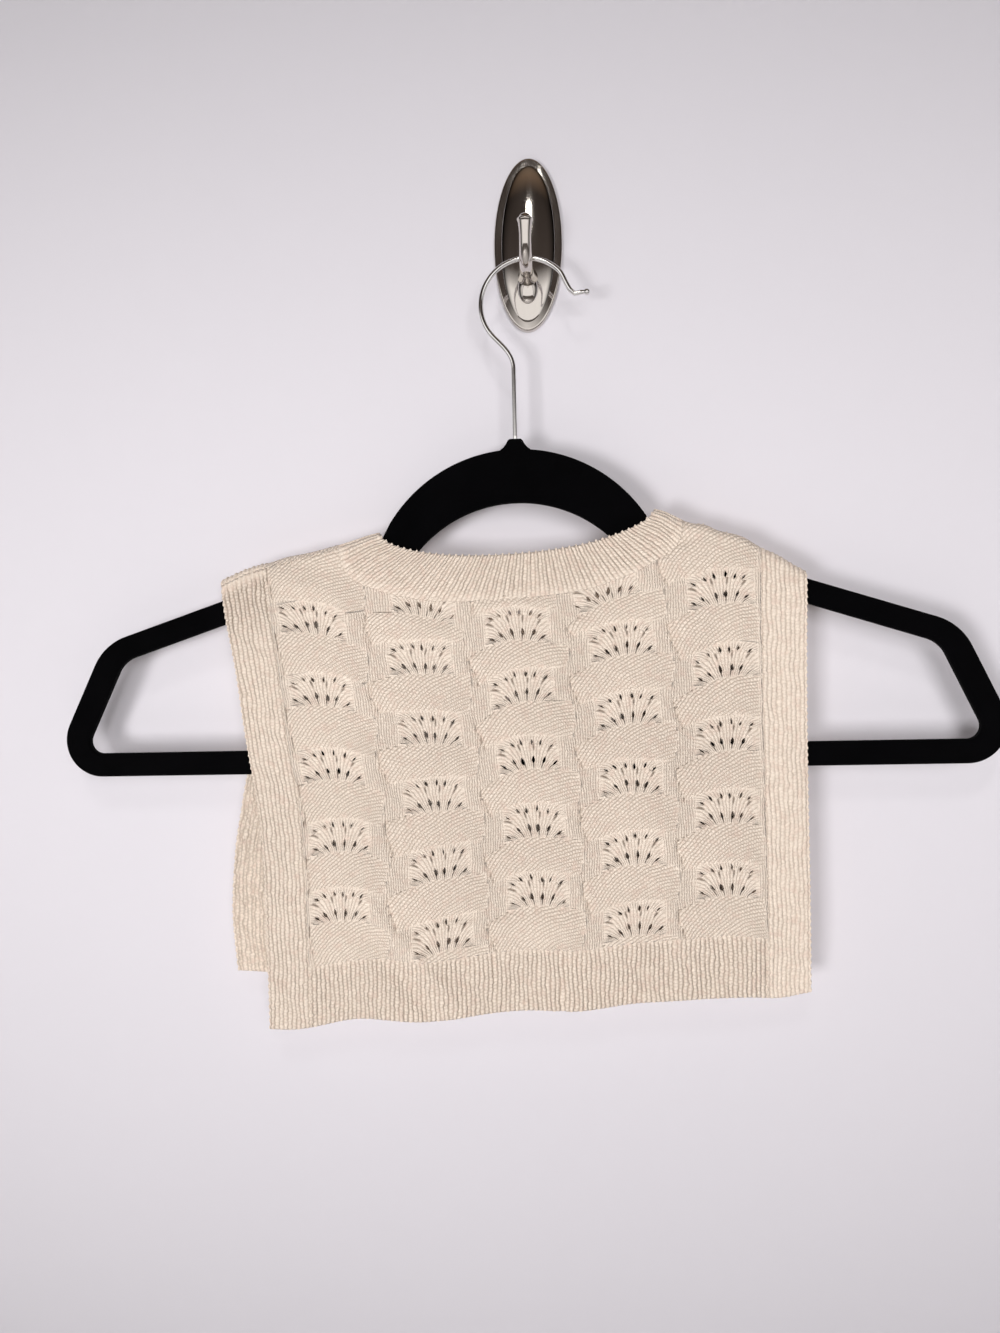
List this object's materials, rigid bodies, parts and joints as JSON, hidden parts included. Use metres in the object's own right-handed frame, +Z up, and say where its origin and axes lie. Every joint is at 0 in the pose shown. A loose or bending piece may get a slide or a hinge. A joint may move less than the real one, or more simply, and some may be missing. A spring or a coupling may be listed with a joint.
{
  "type": "shell lace knit tabard vest on a hanger with a wall hook",
  "caption": "Cropped open-sided knit vest in shell lace with ribbed neckband, side borders and hem, on a flat flocked hanger, hung by its wire hook from an oval wall hook.",
  "frame": {"origin": "centre of the wall plate's flat back face, where it meets the wall", "axes": "+X along the hanger to the right as seen from the room, +Y into the wall, +Z up; the wall is the plane y = 0"},
  "size_m": [0.4444, 0.0384, 0.4236],
  "materials": {
    "knit": "soft heathered knit, shell lace and ribs",
    "flock": "short black flock over plastic",
    "wire": "bright plated wire",
    "nickel": "satin brushed nickel"
  },
  "bodies": {
    "root": {"wall_hook": "nickel", "wire_hook": "wire", "hanger_frame": "flock", "back_panel": "knit", "back_hem": "knit", "back_left_border": "knit", "back_right_border": "knit", "front_panel": "knit", "front_hem": "knit", "front_left_border": "knit", "front_right_border": "knit", "neckband": "knit"}
  },
  "joints": []
}
